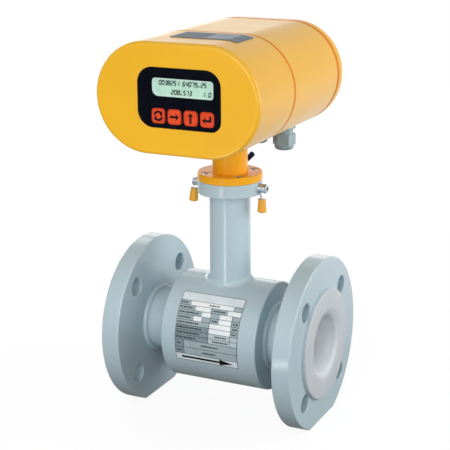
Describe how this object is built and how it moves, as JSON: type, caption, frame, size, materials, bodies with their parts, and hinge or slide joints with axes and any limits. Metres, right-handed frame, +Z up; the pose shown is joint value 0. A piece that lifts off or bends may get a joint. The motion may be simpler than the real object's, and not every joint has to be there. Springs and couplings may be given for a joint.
{
  "type": "electromagnetic flow meter",
  "caption": "Flanged electromagnetic flow meter: a lined pipe section with a coil housing, and a display converter on a neck.",
  "frame": {"origin": "on the pipe axis, midway between the flanges, under the neck", "axes": "+X along the flow, -Y towards the display side, +Z up along the neck"},
  "size_m": [0.2, 0.1938, 0.3682],
  "materials": {
    "grey_paint": "satin enamel",
    "yellow_paint": "gloss powder coat",
    "liner_white": "smooth fluoroplastic",
    "stainless": "turned",
    "zinc_steel": "bright zinc plate",
    "magnet_steel": "plain",
    "copper_winding": "enamelled wire, taped",
    "insulator": "moulded",
    "nameplate_foil": "printed foil",
    "label_slate": "printed foil",
    "gasket_rubber": "moulded",
    "sleeve_yellow": "vinyl",
    "sleeve_blue": "vinyl",
    "panel_dark": "smooth",
    "window_clear": "clear",
    "display_green": "liquid crystal cell",
    "key_red": "moulded",
    "board_green": "solder mask",
    "terminal_green": "moulded",
    "switch_black": "moulded",
    "gland_grey": "moulded nylon",
    "seal_rubber": "moulded",
    "cable_grey": "sheathed"
  },
  "bodies": {
    "meter": {"measuring_tube": "grey_paint", "flange_inlet": "grey_paint", "flange_outlet": "grey_paint", "liner": "liner_white", "coil_housing": "grey_paint", "end_plate_inlet": "grey_paint", "end_plate_outlet": "grey_paint", "neck_tube": "grey_paint", "neck_flange": "grey_paint", "electrodes": "stainless", "electrode_bushes": "insulator", "electrode_nuts": "stainless", "coil_upper": "copper_winding", "coil_lower": "copper_winding", "pole_cores": "magnet_steel", "magnet_yoke": "magnet_steel", "coil_connector": "insulator", "nameplate": "nameplate_foil", "neck_gasket": "gasket_rubber", "neck_screws": "zinc_steel", "converter_neck": "yellow_paint", "neck_lock_ring": "zinc_steel", "earth_bolts": "zinc_steel", "earth_spring_washers": "zinc_steel", "earth_washers": "zinc_steel", "ring_terminal_left": "zinc_steel", "ring_terminal_right": "zinc_steel", "terminal_sleeve_left": "sleeve_yellow", "terminal_sleeve_right": "sleeve_yellow", "front_shell": "yellow_paint", "middle_shell": "yellow_paint", "rear_cover": "yellow_paint", "cover_gaskets": "gasket_rubber", "tie_screws": "zinc_steel", "rear_cover_screws": "zinc_steel", "keypad_panel": "panel_dark", "display_window": "window_clear", "display_module": "display_green", "display_board": "board_green", "key_switches": "switch_black", "display_board_screws": "zinc_steel", "main_board": "board_green", "main_board_standoffs": "zinc_steel", "power_transformer": "magnet_steel", "terminal_board": "board_green", "terminal_blocks": "terminal_green", "gland_bodies": "gland_grey", "gland_nuts": "gland_grey", "gland_seals": "seal_rubber", "gland_locknuts": "gland_grey", "top_label": "label_slate", "neck_earth_screw": "zinc_steel", "neck_earth_terminal": "zinc_steel", "neck_earth_sleeve": "sleeve_blue", "signal_cable": "cable_grey", "ribbon_cable": "cable_grey"},
    "key_cycle": {"key_cycle": "key_red"},
    "key_right": {"key_right": "key_red"},
    "key_up": {"key_up": "key_red"},
    "key_enter": {"key_enter": "key_red"}
  },
  "joints": [
    {"name": "key_cycle_press", "type": "slide", "parent": "meter", "child": "key_cycle", "axis": [0, 1, 0], "range_m": [0, 0.0005], "stiffness_N_per_m": 800, "springref_m": -0.0005},
    {"name": "key_right_press", "type": "slide", "parent": "meter", "child": "key_right", "axis": [0, 1, 0], "range_m": [0, 0.0005], "stiffness_N_per_m": 800, "springref_m": -0.0005},
    {"name": "key_up_press", "type": "slide", "parent": "meter", "child": "key_up", "axis": [0, 1, 0], "range_m": [0, 0.0005], "stiffness_N_per_m": 800, "springref_m": -0.0005},
    {"name": "key_enter_press", "type": "slide", "parent": "meter", "child": "key_enter", "axis": [0, 1, 0], "range_m": [0, 0.0005], "stiffness_N_per_m": 800, "springref_m": -0.0005}
  ]
}
